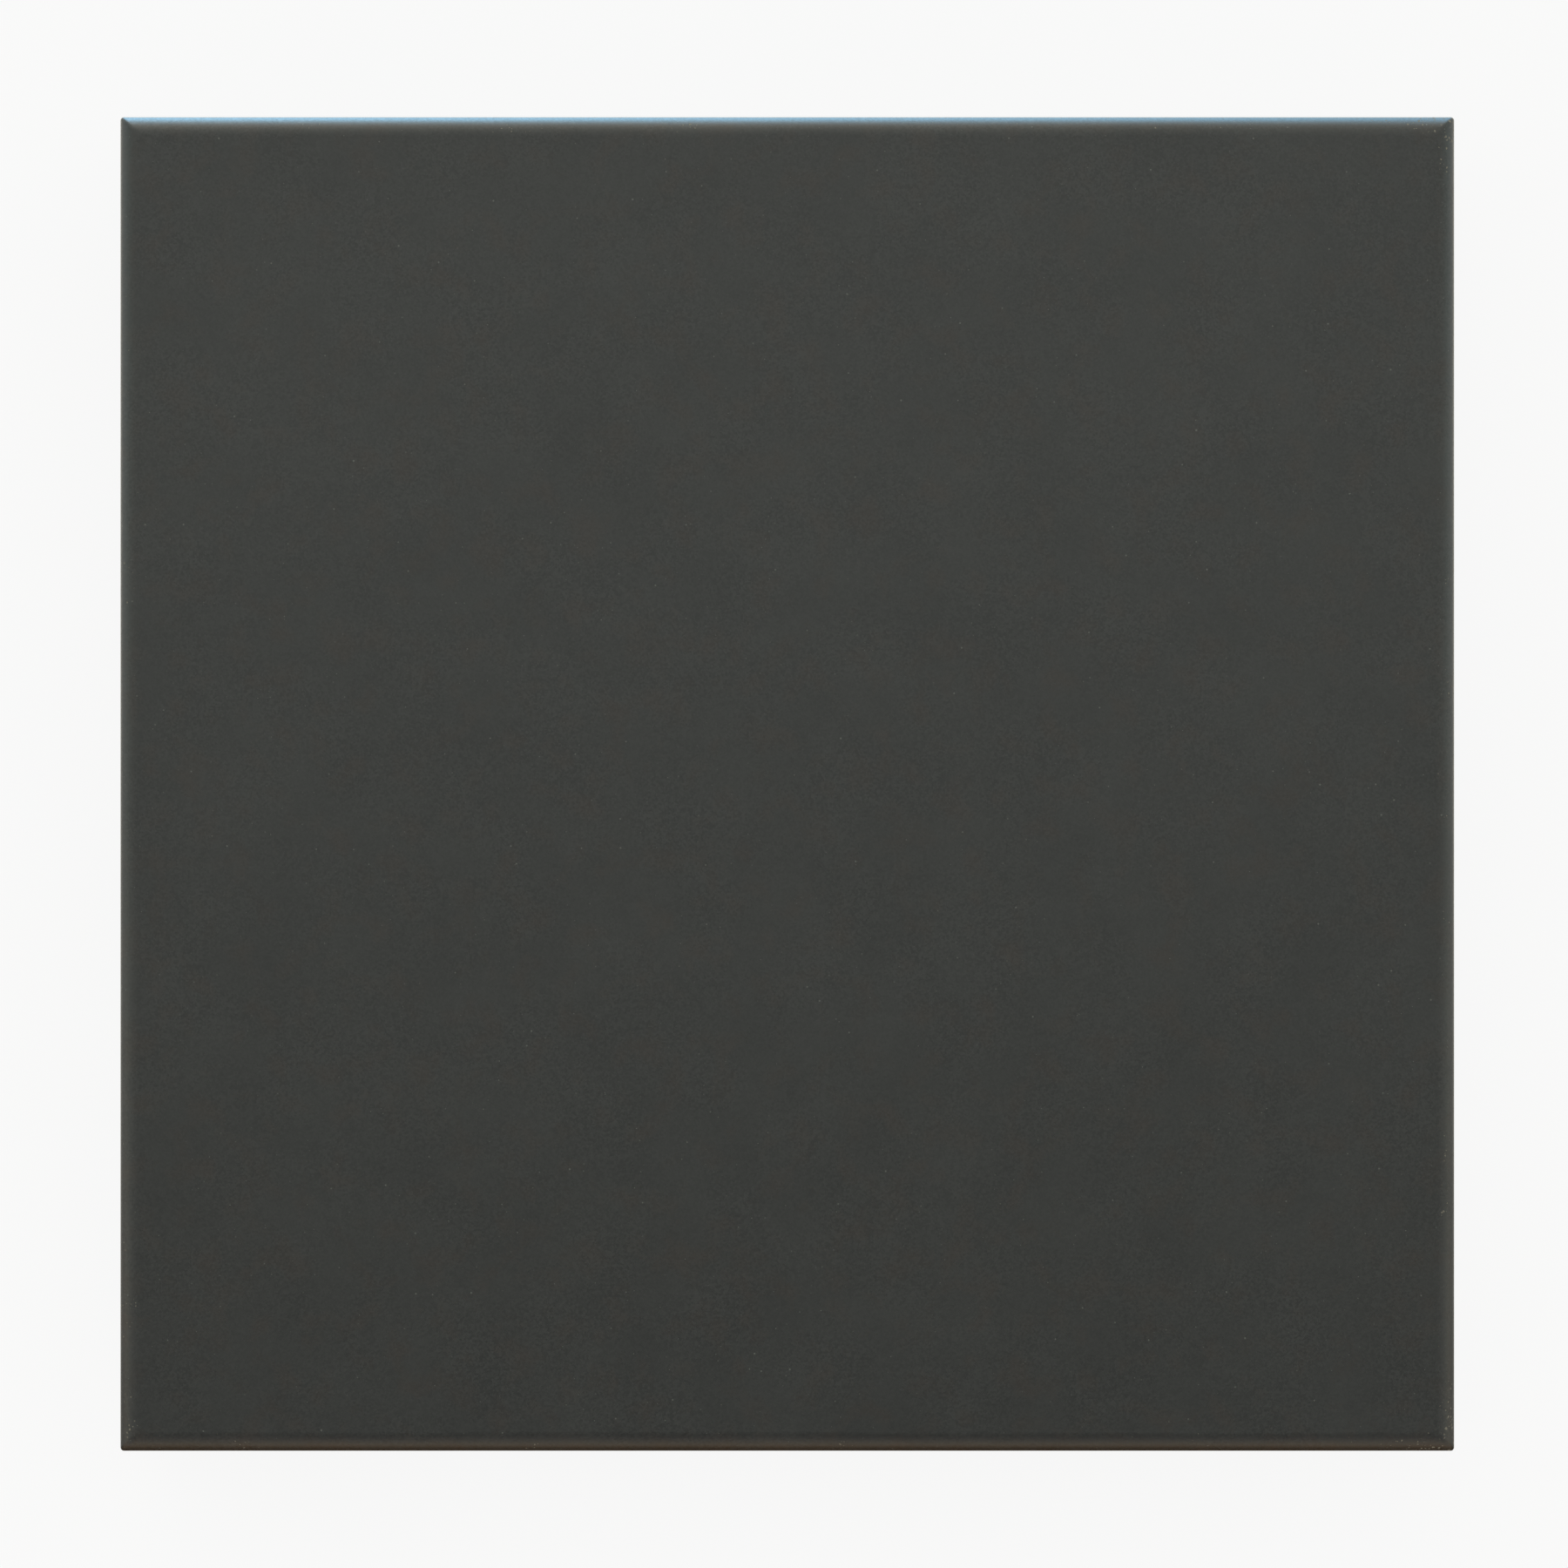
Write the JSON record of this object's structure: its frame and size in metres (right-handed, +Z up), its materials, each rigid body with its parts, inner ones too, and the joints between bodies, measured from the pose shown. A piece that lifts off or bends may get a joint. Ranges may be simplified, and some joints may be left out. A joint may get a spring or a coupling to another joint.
{
  "type": "granite slab",
  "caption": "Square honed black granite tooling slab with softly eased top edges, standing on round stick-on rubber feet.",
  "frame": {"origin": "on the bench, at the height of the feet's bases, under the middle of the stone", "axes": "+Z up, out of the working face; the four sides of the stone face -Y (front), +Y (back), -X (left) and +X (right)"},
  "size_m": [0.305, 0.305, 0.0364],
  "materials": {
    "honed_granite": "satin",
    "foot_rubber": "matte",
    "foam_tape": "matte"
  },
  "bodies": {
    "root": {"granite_slab": "honed_granite", "foot_front_left": "foot_rubber", "foot_front_right": "foot_rubber", "foot_back_left": "foot_rubber", "foot_back_right": "foot_rubber", "foot_tape_front_left": "foam_tape", "foot_tape_front_right": "foam_tape", "foot_tape_back_left": "foam_tape", "foot_tape_back_right": "foam_tape"}
  },
  "joints": []
}
